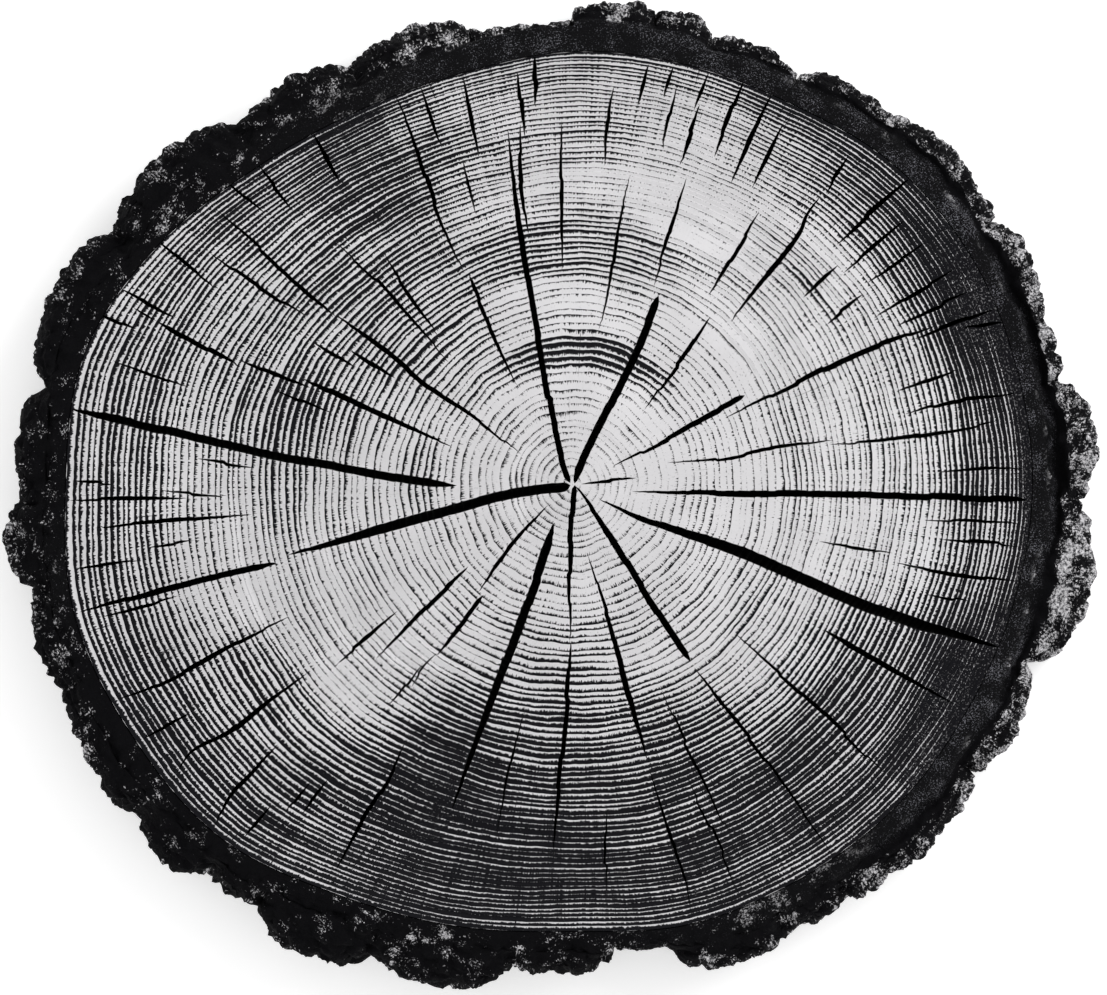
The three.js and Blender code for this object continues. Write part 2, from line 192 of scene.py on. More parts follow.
# Stains in the wood: middle in degrees and distance from the pith, half the spread each way, and how much
# of each ring they darken or bleach
STAINS = [
    ("lower_shade", 270, 106, 44, 50, 0.55),
    ("lower_left_shade", 243, 92, 14, 28, 0.16),
    ("lower_right_shade", 324, 120, 22, 38, 0.38),
    ("right_rim", 0, 142, 48, 32, 0.46),
    ("right_edge", -4, 142, 42, 8, 0.5),
    ("right_rings", 8, 88, 30, 24, 0.05),
    ("upper_right_rim", 40, 142, 30, 36, 0.40),
    ("top_rim", 92, 138, 40, 18, 0.46),
    ("top_shade", 96, 108, 20, 14, 0.22),
    ("upper_left_patch", 121, 112, 13, 20, 0.24),
    ("upper_left_shade", 140, 92, 34, 48, 0.30),
    ("left_rim", 178, 150, 80, 28, 0.24),
    ("lower_left_rim", 218, 136, 22, 36, 0.24),
    ("top_rings", 90, 72, 28, 11, 0.42),
    ("inner_top_rings", 84, 40, 42, 6, 0.52),
    ("left_patch", 172, 86, 18, 12, 0.16),
    ("left_rings", 178, 46, 14, 7, 0.14),
    ("lower_rim", 272, 126, 32, 30, 0.10),
    ("lower_left_patch", 211, 110, 9, 10, 0.20),
    ("upper_right_rings", 47, 94, 11, 6, 0.20),
    ("pale_lower_left_rim", 226, 95, 8, 8, -0.12),
    ("lower_rings", 268, 46, 26, 9, 0.18),
    ("right_inner_rings", 350, 67, 40, 5, 0.12),
    ("pale_left", 196, 106, 11, 18, -0.10),
    ("pale_lower_left", 224, 80, 12, 22, -0.08),
    ("pale_upper_right", 62, 89, 18, 11, -0.22),
    ("pale_right", 12, 60, 42, 30, -0.08),
    ("pale_middle", 15, 14, 70, 18, -0.20),
]

# Bark plates, anticlockwise: start and crest of each plate in degrees, with the distances from the pith to
# the furrow at its start and to its crest
PLATES = [
    (-1.6, 151.8, 4.5, 158.7),
    (12, 150.0, 16, 151.8),
    (18.8, 150.0, 27, 153.9),
    (32, 148.8, 40, 152.7),
    (48.5, 145.8, 55, 147.0),
    (61, 139.2, 67.5, 143.7),
    (72.5, 139.2, 77, 146.1),
    (80, 143.4, 83.5, 146.4),
    (90, 139.8, 96, 140.1),
    (103, 139.2, 111, 146.4),
    (118.4, 141.6, 128, 149.7),
    (133.5, 148.2, 147.6, 159.9),
    (151.5, 156.9, 163, 168.3),
    (169.6, 160.8, 175, 168.9),
    (182, 166.8, 185.6, 172.2),
    (190.8, 163.8, 197, 169.2),
    (202, 165.9, 211, 168.6),
    (217.5, 164.7, 222, 168.3),
    (226.6, 159.0, 229.5, 161.4),
    (233, 160.5, 238, 163.5),
    (246.4, 155.4, 253, 157.8),
    (262.5, 145.8, 267, 147.9),
    (275, 139.8, 278, 142.2),
    (281.6, 141.6, 290.5, 153.6),
    (296.5, 149.7, 299.5, 150.6),
    (303.5, 148.5, 316, 153.6),
    (324, 147.6, 329.6, 152.7),
    (338.5, 147.6, 347, 159.6),
]

# Section of the bark, from the underside at the wood round to the top at the wood: share of the way out
# through the corky plate (below 0 across the inner bark), share of the thickness, how strongly crags move
# it, how far furrows lower it, and the rows of faces up to the next point
BARK_SECTION = [
    (-1.0, 0.000, 0.0, 0.0, 3),
    (0.0, 0.000, 0.0, 0.0, 5),
    (0.45, 0.010, 0.3, 0.0, 5),
    (0.86, 0.070, 0.8, 0.0, 5),
    (0.97, 0.180, 1.0, 0.0, 6),
    (1.0, 0.340, 1.0, 0.0, 6),
    (1.0, 0.500, 1.0, 0.1, 6),
    (0.99, 0.660, 1.0, 0.3, 5),
    (0.95, 0.790, 1.0, 0.6, 5),
    (0.83, 0.890, 1.0, 1.0, 6),
    (0.58, 0.950, 0.9, 1.0, 5),
    (0.30, 0.965, 0.7, 0.9, 3),
    (0.14, 0.968, 0.5, 0.5, 3),
    (0.05, 0.970, 0.3, 0.2, 3),
    (-0.06, 0.975, 0.3, 0.0, 5),
    (-1.0, 0.990, 0.0, 0.0, 4),
]

# Paler bark by angle round the slice, partly weathering and partly painted highlight, strongest on the
# right, the top and the lower right where the light falls: middle and half the spread in degrees, and how
# much
WEATHER_AND_PAINTED_LIGHT = [
    ("everywhere", 0, 3600, 0.16),
    ("right_side", 12, 38, 0.36),
    ("lower_right", 335, 26, 0.24),
    ("top", 90, 42, 0.24),
    ("bottom", 285, 30, 0.10),
    ("left_patch", 190, 8, 0.14),
]

# Waves in the width of the inner bark: how many to a turn, phase, height
BAND_WAVES = [(9, 0.4, 0.5), (17, 2.2, 0.5), (31, 4.0, 0.4), (53, 1.1, 0.3)]

# Waves in the edge of the crevice between the inner bark and the plates
CREVICE_WAVES = [(29, 0.9, 0.4), (61, 0.3, 0.5), (97, 1.9, 0.45), (149, 4.4, 0.3)]


def metres(name, description, millimetres):
    """A length that a user can change, shown in the scene's own unit."""
    return bpy.props.FloatProperty(
        name=name, description=description, default=millimetres * MM,
        min=0.0, precision=5, subtype="DISTANCE", unit="LENGTH",
    )


def colour(name, description, rgb):
    """A surface colour that a user can change."""
    return bpy.props.FloatVectorProperty(
        name=name, description=description, default=rgb, size=3, min=0.0, max=1.0, subtype="COLOR",
    )


def share(name, description, default):
    """A plain share or strength that a user can change."""
    return bpy.props.FloatProperty(name=name, description=description, default=default, min=0.0)


class WoodSettings(bpy.types.PropertyGroup):
    """Sizes and colours of the wood."""

    pith: bpy.props.FloatVectorProperty(
        name="Pith", description="Where the growth rings start", default=(5.85 * MM, 4.05 * MM, 0.0),
        size=3, subtype="TRANSLATION", unit="LENGTH",
    )
    years: bpy.props.IntProperty(
        name="Years", description="Growth rings from pith to bark", default=74, min=2,
    )
    first_ring: metres("First ring", "Width of the ring next to the pith", 2.35)
    ring_luck: share("Ring luck", "How much good and bad years change the width of a ring", 0.28)
    ring_relief: metres("Ring relief", "Depth worn between one late-wood edge and the next", 0.35)
    crack_depth: share("Crack depth", "Depth of a crack for each unit of its width", 12.0)
    ragged: metres("Ragged edge", "How far fibres push the edges of a crack about", 0.3)
    seed: bpy.props.IntProperty(name="Seed", description="Draw for the rings, cracks and crags", default=5)
    pale: colour("Pale wood", "Bleached early wood", (0.74, 0.73, 0.745))
    dark: colour("Dark ring", "Late wood and stain", (0.006, 0.006, 0.0078))
    # Painted shade: near-black colour of the crack walls, standing in for the shade deep in the cracks
    crack: colour("Crack wall", "Inside of the drying cracks", (0.004, 0.004, 0.005))


class BarkSettings(bpy.types.PropertyGroup):
    """Sizes and colours of the bark."""

    gap: metres("Gap", "Gap between wood and bark", 0.3)
    inner_bark: metres("Inner bark", "Width of the dark inner bark", 6.0)
    inner_bark_top: metres("Inner bark at the top", "Extra width of the inner bark at the back", 2.4)
    furrow_drop: metres("Furrow drop", "How far the sawn edge is broken down at a furrow", 5.0)
    crevice: metres("Crevice", "Depth of the crevice between inner bark and plates", 6.5)
    crag: metres("Crags", "Height of the large crags", 2.6)
    grain: metres("Grain", "Height of the small crags", 0.5)
    columns: bpy.props.IntProperty(
        name="Columns", description="Columns of faces round the bark", default=1080,
    )
    dark: colour("Bark", "Deep bark", (0.0035, 0.0034, 0.0042))
    band: colour("Inner bark", "Inner bark next to the wood", (0.0048, 0.0048, 0.0054))
    worn: colour("Worn bark", "Dry bark between the flecks", (0.05, 0.05, 0.055))
    # Pale flecks on the crests: partly dry worn bark, partly painted highlight where light catches the high
    # points
    fleck_and_highlight: colour("Flecks", "Dry worn flecks on the crests", (0.72, 0.71, 0.73))


class StageSettings(bpy.types.PropertyGroup):
    """Camera, floor and light."""

    camera_height: metres("Camera height", "Height of the camera over the sawn face", 3321.0)
    lens: bpy.props.FloatProperty(name="Lens", description="Focal length on a 36 mm sensor", default=360.0)
    floor_size: metres("Floor", "Side of the floor", 6000.0)
    floor: colour("Floor", "Pale floor", (0.93, 0.93, 0.93))
    floor_glow: share("Floor glow", "Light that comes through the floor, as from a light table", 0.45)
    sky: share("Sky", "Strength of the even light", 0.78)
    key: share("Key light", "Power of the large lamp", 26.0)


class Tree:
    """Adds nodes to a tree, with each input set to a value or linked to a socket."""

    def __init__(self, tree):
        self.tree = tree

    def add(self, kind, inputs=None, **settings):
        node = self.tree.nodes.new(kind)
        for name, value in settings.items():
            setattr(node, name, value)
        for key, value in (inputs or {}).items():
            socket = node.inputs[key]
            if isinstance(value, bpy.types.NodeSocket):
                self.tree.links.new(value, socket)
            else:
                socket.default_value = value
        return node

    def link(self, value, socket):
        self.tree.links.new(value, socket)

    def math(self, operation, first, second=0.0):
        return self.add("ShaderNodeMath", {0: first, 1: second}, operation=operation).outputs[0]

    def plus(self, first, second):
        return self.math("ADD", first, second)

    def minus(self, first, second):
        return self.math("SUBTRACT", first, second)

    def times(self, first, second):
        return self.math("MULTIPLY", first, second)

    def vector(self, operation, first, second=(0.0, 0.0, 0.0)):
        node = self.add("ShaderNodeVectorMath", {0: first, 1: second}, operation=operation)
        return node.outputs["Value" if operation == "LENGTH" else "Vector"]

    def scaled(self, vector, amount):
        node = self.add("ShaderNodeVectorMath", {0: vector, "Scale": amount}, operation="SCALE")
        return node.outputs["Vector"]

    def combined(self, x, y, z):
        return self.add("ShaderNodeCombineXYZ", {"X": x, "Y": y, "Z": z}).outputs[0]

    def parts(self, vector):
        return self.add("ShaderNodeSeparateXYZ", {0: vector}).outputs

    def noise(self, vector, scale, detail=2.0, roughness=0.5):
        inputs = {"Vector": vector, "Scale": scale, "Detail": detail, "Roughness": roughness}
        return self.add("ShaderNodeTexNoise", inputs).outputs[0]

    def drift(self, vector, scale, detail):
        """A noise vector with its middle at nought."""
        inputs = {"Vector": vector, "Scale": scale, "Detail": detail}
        noise = self.add("ShaderNodeTexNoise", inputs).outputs["Color"]
        return self.vector("SUBTRACT", noise, (0.5, 0.5, 0.5))

    def ramp(self, value, low, high, bottom=0.0, top=1.0):
        """A smooth step from bottom to top as value goes from low to high."""
        inputs = {"Value": value, "From Min": low, "From Max": high, "To Min": bottom, "To Max": top}
        return self.add("ShaderNodeMapRange", inputs, interpolation_type="SMOOTHSTEP").outputs[0]

    def mix(self, amount, first, second):
        node = self.add("ShaderNodeMix", {0: amount, 6: first, 7: second}, data_type="RGBA")
        return node.outputs[2]

    def attribute(self, name):
        return self.add("ShaderNodeAttribute", attribute_name=name).outputs["Fac"]

    def group(self, tree, inputs):
        return self.add("ShaderNodeGroup", inputs, node_tree=tree).outputs


def rgba(rgb):
    return (*rgb, 1.0)


def wood_radius(turn):
    """Distance from pith to bark at angles in degrees: a smooth closed curve through the listed radii."""
    count = len(WOOD_RADII)
    place = np.mod(np.asarray(turn, float) / 360.0, 1.0) * count
    first = np.floor(place).astype(int)
    t = place - first
    before, here, after, beyond = (WOOD_RADII[(first + step) % count] for step in (-1, 0, 1, 2))
    slope_in = (after - before) / 2
    slope_out = (beyond - here) / 2
    rise = after - here
    bend = 3 * rise - 2 * slope_in - slope_out
    twist = slope_in + slope_out - 2 * rise
    return here + t * (slope_in + t * (bend + t * twist))


class Rings:
    """The rule of the growth rings: round at the pith, following the outline at the rim."""

    def __init__(self, settings):
        self.pith = np.array(settings.pith[:2]) / MM
        self.years = settings.years
        first = settings.first_ring / MM
        last = 2 * MEAN_WOOD_RADIUS / self.years - first
        luck = np.random.default_rng(settings.seed).uniform(-1.0, 1.0, self.years)
        widths = np.linspace(first, last, self.years) * (1 + settings.ring_luck * luck)
        reach = np.concatenate([[0.0], np.cumsum(widths)])
        self.reach = reach * MEAN_WOOD_RADIUS / reach[-1]

    def wave(self, year, turn):
        angle = np.radians(turn)
        rise = sum(
            height * np.sin(count * angle + drift * year + phase)
            for count, drift, phase, height in RING_WAVES
        )
        fade = np.clip(year / 12.0, 0.0, 1.0) * np.clip((self.years - year) / 6.0, 0.0, 1.0)
        return rise * fade

    def distance(self, year, turn):
        """Distance from the pith to the edge of a year's ring."""
        part = np.interp(year, np.arange(self.years + 1), self.reach) / MEAN_WOOD_RADIUS
        plain = MEAN_WOOD_RADIUS * part + (wood_radius(turn) - MEAN_WOOD_RADIUS) * part ** 3
        return plain + self.wave(year, turn)

    def year_without_wave(self, distance, turn):
        swell = wood_radius(turn) - MEAN_WOOD_RADIUS
        part = distance / MEAN_WOOD_RADIUS
        for _ in range(6):
            error = MEAN_WOOD_RADIUS * part + swell * part ** 3 - distance
            part = part - error / (MEAN_WOOD_RADIUS + 3 * swell * part ** 2)
        return np.interp(MEAN_WOOD_RADIUS * part, self.reach, np.arange(self.years + 1))

    def year(self, distance, turn):
        """The year that a point of the wood grew in, with its share of that year."""
        rough = self.year_without_wave(distance, turn)
        return self.year_without_wave(distance - self.wave(rough, turn), turn)

    def polar(self, points):
        """Angle in degrees and distance from the pith of points in metres."""
        across = points[:, :2] / MM - self.pith
        return np.degrees(np.arctan2(across[:, 1], across[:, 0])), np.hypot(across[:, 0], across[:, 1])

    def place(self, turn, distance):
        """Points in metres at angles in degrees and distances from the pith."""
        angle = np.radians(turn)
        across = np.stack([np.cos(angle) * distance, np.sin(angle) * distance], axis=-1)
        return (self.pith + across) * MM


def make_object(name, points, faces, edges=()):
    """A mesh object at the origin, with its place in its mesh."""
    mesh = bpy.data.meshes.new(name)
    mesh.from_pydata(np.asarray(points).tolist(), list(edges), faces)
    mesh.update()
    made = bpy.data.objects.new(name, mesh)
    bpy.context.scene.collection.objects.link(made)
    return made


def store(mesh, name, values, domain="POINT"):
    """Writes one number for each point, face or corner as a named attribute."""
    layer = mesh.attributes.get(name) or mesh.attributes.new(name, "FLOAT", domain)
    layer.data.foreach_set("value", np.asarray(values, np.float32))


def mesh_points(mesh):
    flat = np.empty(len(mesh.vertices) * 3, np.float32)
    mesh.vertices.foreach_get("co", flat)
    return flat.reshape(-1, 3).astype(float)


def new_tree(name, kind, inputs, outputs):
    """An empty node tree with named sockets. Returns its builder, its input sockets and its output node."""
    tree = bpy.data.node_groups.new(name, kind)
    for in_out, sockets in (("INPUT", inputs), ("OUTPUT", outputs)):
        for label, socket in sockets.items():
            tree.interface.new_socket(label, in_out=in_out, socket_type=socket)
    build = Tree(tree)
    return build, build.add("NodeGroupInput").outputs, build.add("NodeGroupOutput")


def new_node_tool(name, inputs):
    """An empty geometry node tree that changes a mesh."""
    mesh = {"Geometry": "NodeSocketGeometry"}
    return new_tree(name, "GeometryNodeTree", {**mesh, **inputs}, mesh)


def end_node_tool(build, geometry, material, result):
    """Last nodes of a geometry tree: the mesh made real, in its material."""
    whole = build.add("GeometryNodeRealizeInstances", {"Geometry": geometry}).outputs[0]
    dressed = build.add("GeometryNodeSetMaterial", {"Geometry": whole, "Material": material}).outputs[0]
    build.link(dressed, result.inputs[0])
    return build.tree


def run_node_tool(subject, tree, values):
    """Runs a node tree on an object and keeps the result as its plain mesh."""
    modifier = subject.modifiers.new(tree.name, "NODES")
    modifier.node_group = tree
    for item in tree.interface.items_tree:
        if item.in_out == "INPUT" and item.name in values:
            modifier[item.identifier] = values[item.name]
    subject.update_tag()
    graph = bpy.context.evaluated_depsgraph_get()
    made = bpy.data.meshes.new_from_object(subject.evaluated_get(graph), depsgraph=graph)
    if not made.polygons:
        raise RuntimeError(f"{tree.name} left {subject.name} with no faces")
    subject.modifiers.remove(modifier)
    made.name = subject.name
    subject.data = made
    return made


def seat(piece, node):
    """Lets a finished piece stand for its CAD node."""
    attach(piece, "root")
    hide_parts(node)


def stitch(rows):
    """Faces between neighbouring closed rows of point numbers, of the same count or double or half."""
    faces = []
    for inner, outer in zip(rows, rows[1:]):
        if len(inner) > len(outer):
            faces += [face[::-1] for face in stitch([outer, inner])]
            continue
        step = len(outer) // len(inner)
        for i, here in enumerate(inner):
            onward = inner[(i + 1) % len(inner)]
            low = outer[step * i]
            high = outer[step * (i + 1) % len(outer)]
            if step == 1:
                faces.append((here, low, high, onward))
            else:
                middle = outer[step * i + 1]
                faces += [(here, low, middle), (here, middle, onward), (onward, middle, high)]
    return faces


def disc_mesh(rings, thickness):
    """The uncut disc: rows along the rings on both sawn faces, finer on top."""
    fewer_columns = [(30, 90), (80, 180)]
    top_columns = 360
    under_columns = 180
    wall_rows = 7
    points = []
    years = []
    sawn = []

    def add_row(year, columns, height, side):
        turn = np.arange(columns) * 360.0 / columns
        spots = rings.place(turn, rings.distance(np.full(columns, float(year)), turn))
        first = len(points)
        points.extend((x, y, height) for x, y in spots)
        years.extend([year] * columns)
        sawn.extend([side] * columns)
        return list(range(first, first + columns))

    def add_face(height, side, most_columns):
        rows = []
        for year in range(rings.years):
            for part in (0.1, 0.9):
                reach = rings.distance(np.array([year + part]), np.array([0.0]))[0]
                fit = next((columns for limit, columns in fewer_columns if reach < limit), top_columns)
                rows.append(add_row(year + part, min(fit, most_columns), height, side))
        rows.append(add_row(rings.years, most_columns, height, 0))
        return rows

    def add_pith(height):
        points.append((*(rings.pith * MM), height))
        years.append(0.0)
        sawn.append(0)
        return len(points) - 1

    top = add_face(thickness, 1, top_columns)
    bottom = add_face(0.0, -1, under_columns)
    heights = np.linspace(0.0, thickness, wall_rows + 1)[1:-1]
    wall = [add_row(rings.years, top_columns if i else under_columns, h, 0) for i, h in enumerate(heights)]
    rows = top + wall[::-1] + bottom[::-1]
    faces = stitch(rows)
    for row, pith, flip in ((top[0], add_pith(thickness), False), (bottom[0], add_pith(0.0), True)):
        for i, here in enumerate(row):
            onward = row[(i + 1) % len(row)]
            faces.append((pith, onward, here) if flip else (pith, here, onward))
    return points, faces, years, sawn


def crack_lines(rings, depth_per_width, thickness, seed):
    """Middle lines of all cracks, as edges, with the half width and depth of the slot at each point."""
    step = 1.0
    jog_length = 9.0
    jog_reach = 0.45
    jog_width = 1.2
    taper = 0.6
    least_opening = 0.04
    through_width = 2.2
    through_opening = 0.4
    through = thickness / MM + 2.0
    chance = np.random.default_rng(seed)
    points = []
    edges = []
    half_widths = []
    depths = []
    checks = [(width, 0.5, 0.5, path) for width, path in FINE_CHECKS]
    for width, start, end, path in CRACKS + checks:
        corners = rings.place(*np.array(path, float).T) / MM
        ends = [2 * corners[0] - corners[1], *corners, 2 * corners[-1] - corners[-2]]
        line = []
        for before, here, after, beyond in zip(ends, ends[1:], ends[2:], ends[3:]):
            count = max(2, int(np.hypot(*(after - here)) / step))
            t = np.arange(count)[:, None] / count
            bend = 2 * before - 5 * here + 4 * after - beyond
            twist = 3 * here - before - 3 * after + beyond
            line.append(here + t * ((after - before) + t * (bend + t * twist)) / 2)
        line = np.concatenate([*line, corners[-1:]])
        heading = np.gradient(line, axis=0)
        across = np.stack([-heading[:, 1], heading[:, 0]], axis=-1) / np.hypot(*heading.T)[:, None]
        reach = jog_reach * min(1.0, jog_width / width)
        jogs = chance.uniform(-reach, reach, int(len(line) * step / jog_length) + 1)
        line = line + across * jogs[(np.arange(len(line)) * step / jog_length).astype(int)][:, None]
        run = np.linspace(0.0, 1.0, len(line))
        opening = np.clip(run / start, 0.0, 1.0) ** taper * np.clip((1 - run) / end, 0.0, 1.0) ** taper
        opening = np.maximum(opening, least_opening)
        deep = np.minimum(width * depth_per_width * opening ** 0.5, through)
        if width > through_width:
            deep = np.where(opening > through_opening, through, deep)
        first = len(points)
        points.extend((x * MM, y * MM, thickness) for x, y in line)
        edges.extend((first + i, first + i + 1) for i in range(len(line) - 1))
        half_widths.extend(width / 2 * opening * MM)
        depths.extend(deep * MM)
    return points, edges, half_widths, depths


def wood_tool():
    """Node tree that wears the rings into the sawn faces and cuts the cracks into the disc."""
    build, given, result = new_node_tool("Rings and cracks", {
        "Ring Relief": "NodeSocketFloat",
        "Cracks": "NodeSocketObject",
        "Thickness": "NodeSocketFloat",
        "Ragged": "NodeSocketFloat",
        "Seed": "NodeSocketInt",
        "Material": "NodeSocketMaterial",
    })
    named = {
        name: build.add("GeometryNodeInputNamedAttribute", {"Name": name}, data_type="FLOAT").outputs[0]
        for name in ("year", "sawn", "half_width", "depth")
    }
    place = build.add("GeometryNodeInputPosition").outputs[0]
    part = build.math("FRACT", named["year"])
    worn = build.times(build.minus(part, 1.0), given["Ring Relief"])
    lift = build.combined(0.0, 0.0, build.times(worn, named["sawn"]))
    disc = build.add("GeometryNodeSetPosition", {"Geometry": given["Geometry"], "Offset": lift}).outputs[0]

    lines = build.add("GeometryNodeObjectInfo", {"Object": given["Cracks"]}).outputs["Geometry"]
    curves = build.add("GeometryNodeMeshToCurve", {"Mesh": lines}).outputs[0]
    upright = build.add("GeometryNodeSetCurveNormal", {"Curve": curves}, mode="Z_UP").outputs[0]
    corners = {
        "Point 1": (-1.0, -1.0, 0.0), "Point 2": (1.0, -1.0, 0.0),
        "Point 3": (1.8, 1.0, 0.0), "Point 4": (1.35, 1.0, 0.0),
    }
    section = build.add("GeometryNodeCurvePrimitiveQuadrilateral", corners, mode="POINTS").outputs[0]
    slots = build.add("GeometryNodeCurveToMesh", {
        "Curve": upright, "Profile Curve": section, "Scale": named["half_width"], "Fill Caps": True,
    }).outputs[0]
    x, y, z = build.parts(place)
    over = build.math("GREATER_THAN", z, given["Thickness"])
    below = build.minus(given["Thickness"], named["depth"])
    above = build.plus(given["Thickness"], MM)
    height = build.plus(build.times(over, build.minus(above, below)), below)
    spot = build.vector("ADD", place, build.combined(0.0, 0.0, given["Seed"]))
    stray = build.drift(spot, 620.0, 3.0)
    push = build.scaled(stray, build.times(given["Ragged"], 2.0))
    push_x, push_y, _ = build.parts(push)
    moved = build.combined(build.plus(x, push_x), build.plus(y, push_y), height)
    ragged = build.add("GeometryNodeSetPosition", {"Geometry": slots, "Position": moved}).outputs[0]
    island = build.add("GeometryNodeInputMeshIsland").outputs[0]
    apart = {"Geometry": ragged, "Group ID": island}
    cutters = build.add("GeometryNodeSplitToInstances", apart, domain="FACE")
    cut = build.add(
        "GeometryNodeMeshBoolean", {"Mesh 1": disc}, operation="DIFFERENCE", solver="MANIFOLD",
    )
    build.link(cutters.outputs[0], cut.inputs["Mesh 2"])
    closer = {"Geometry": cut.outputs["Mesh"], "Distance": 0.02 * MM}
    joined = build.add("GeometryNodeMergeByDistance", closer)
    return end_node_tool(build, joined.outputs[0], given["Material"], result)


def stain(turn, distance, seed):
    """Share of each ring that is dark at points of the wood."""
    at_pith = 0.13
    more_at_rim = 0.12
    wedge_mood = 0.07
    most = 1.25
    dark = at_pith + more_at_rim * distance / MEAN_WOOD_RADIUS
    borders = np.sort([path[len(path) // 2][0] for _, _, _, path in CRACKS])
    wedge = np.searchsorted(borders, turn % 360.0) % len(borders)
    moods = np.random.default_rng(seed).uniform(-wedge_mood, wedge_mood, len(borders))
    dark = dark + moods[wedge] * np.clip(distance / 60.0 - 0.4, 0.0, 1.0)
    for _, middle, away, half_turn, half_reach, amount in STAINS:
        aside = (turn - middle + 180.0) % 360.0 - 180.0
        spread = (aside / half_turn) ** 2 + ((distance - away) / half_reach) ** 2
        dark = dark + amount * np.exp(-spread ** 3)
    return np.clip(dark, 0.0, most)


def face_data(mesh):
    """Middles and normals of the faces, and for each corner its face and its point."""
    count = len(mesh.polygons)
    middles = np.empty(count * 3, np.float32)
    normals = np.empty(count * 3, np.float32)
    totals = np.empty(count, np.int32)
    corners = np.empty(len(mesh.loops), np.int32)
    mesh.polygons.foreach_get("center", middles)
    mesh.polygons.foreach_get("normal", normals)
    mesh.polygons.foreach_get("loop_total", totals)
    mesh.loops.foreach_get("vertex_index", corners)
    owner = np.repeat(np.arange(count), totals)
    return middles.reshape(-1, 3), normals.reshape(-1, 3), owner, corners


def shade(mesh, sharp_degrees):
    """Smooth shading, broken at edges sharper than an angle."""
    mesh.polygons.foreach_set("use_smooth", np.ones(len(mesh.polygons), bool))
    mesh.set_sharp_from_angle(angle=math.radians(sharp_degrees))


def write_map(mesh, places):
    """Lays the faces out flat, in the map that the finish is baked to."""
    layer = mesh.uv_layers.new(name="OFBake")
    layer.uv.foreach_set("vector", places.astype(np.float32).ravel())


def drop_spare_points(mesh):
    """Takes out points that only lie along the edge between the same two faces."""
    work = bmesh.new()
    work.from_mesh(mesh)
    spare = [point for point in work.verts if len(point.link_edges) == 2]
    bmesh.ops.dissolve_verts(work, verts=spare)
    work.to_mesh(mesh)
    work.free()


def finish_wood(mesh, rings, thickness, seed):
    """Year and stain marks, the mark of the crack walls that the wood material paints near-black as painted
    shade, shading and the flat map of the cut wood.
    """
    for name in ("sawn", "half_width", "depth"):
        mesh.attributes.remove(mesh.attributes[name])
    points = mesh_points(mesh)
    turn, distance = rings.polar(points)
    store(mesh, "year", rings.year(distance, turn))
    store(mesh, "ink", stain(turn, distance, seed))
    middles, normals, owner, corners = face_data(mesh)
    middle_turn, middle_distance = rings.polar(middles)
    edge = 0.8 * MM
    inside = (middles[:, 2] > edge) & (middles[:, 2] < thickness - edge)
    steep = (np.abs(normals[:, 2]) < 0.6) | inside
    rim = middle_distance > wood_radius(middle_turn) - 0.3
    wall = steep & ~rim
    # Crack walls, which the wood material paints near-black as painted shade
    store(mesh, "crack", wall, "FACE")
    shade(mesh, 50)

    across = (points[:, :2] - np.array(WOOD_BOX[0][:2])) / (WOOD_BOX[1][0] - WOOD_BOX[0][0])
    spots = across[corners]
    places = 0.01 + 0.74 * spots
    under = (normals[:, 2] < 0)[owner]
    places[under] = np.array([0.765, 0.01]) + 0.225 * spots[under]
    height = points[corners, 2] / thickness
    aside = (turn[corners] - middle_turn[owner] + 180.0) % 360.0 - 180.0
    along = (middle_turn[owner] + aside) / 360.0 % 1.0
    on_wall = wall[owner]
    walls = np.stack([distance[corners] / WOOD_RADII.max(), height], axis=-1)
    places[on_wall] = np.array([0.765, 0.26]) + np.array([0.225, 0.4]) * walls[on_wall]
    on_rim = (steep & rim)[owner]
    rims = np.stack([along, height], axis=-1)
    places[on_rim] = np.array([0.02, 0.78]) + np.array([0.96, 0.1]) * rims[on_rim]
    write_map(mesh, places)


def speckle_group():
    """Shader group: a mask of small grains that covers more or less of a surface."""
    bare_level = 0.74
    build, given, result = new_tree("Speckle", "ShaderNodeTree", {
        "Vector": "NodeSocketVector", "Grains per Metre": "NodeSocketFloat", "Cover": "NodeSocketFloat",
    }, {"Mask": "NodeSocketFloat"})
    grains = build.noise(given["Vector"], given["Grains per Metre"], detail=2.0, roughness=0.65)
    level = build.minus(bare_level, build.times(given["Cover"], 0.5))
    above = build.minus(grains, level)
    build.link(build.ramp(above, -0.05, 0.05), result.inputs["Mask"])
    return build.tree


def pith_group():
    """Shader group: the way from the pith to a point of the surface."""
    build, given, result = new_tree("From Pith", "ShaderNodeTree", {"Pith": "NodeSocketVector"}, {
        "Offset": "NodeSocketVector", "Heading X": "NodeSocketFloat", "Heading Y": "NodeSocketFloat",
        "Distance": "NodeSocketFloat", "Height": "NodeSocketFloat",
    })
    place = build.add("ShaderNodeTexCoord").outputs["Object"]
    offset = build.vector("SUBTRACT", place, given["Pith"])
    x, y, z = build.parts(offset)
    flat = build.combined(x, y, 0.0)
    heading_x, heading_y, _ = build.parts(build.vector("NORMALIZE", flat))
    found = (offset, heading_x, heading_y, build.vector("LENGTH", flat), z)
    for socket, value in zip(result.inputs, found):
        build.link(value, socket)
    return build.tree


def shared(name, make):
    """A node group that more than one material uses, made when it is first asked for."""
    return bpy.data.node_groups.get(name) or make()


def speckled(build, place, grains_per_metre, cover):
    inputs = {"Vector": place, "Grains per Metre": grains_per_metre, "Cover": cover}
    return build.group(shared("Speckle", speckle_group), inputs)["Mask"]


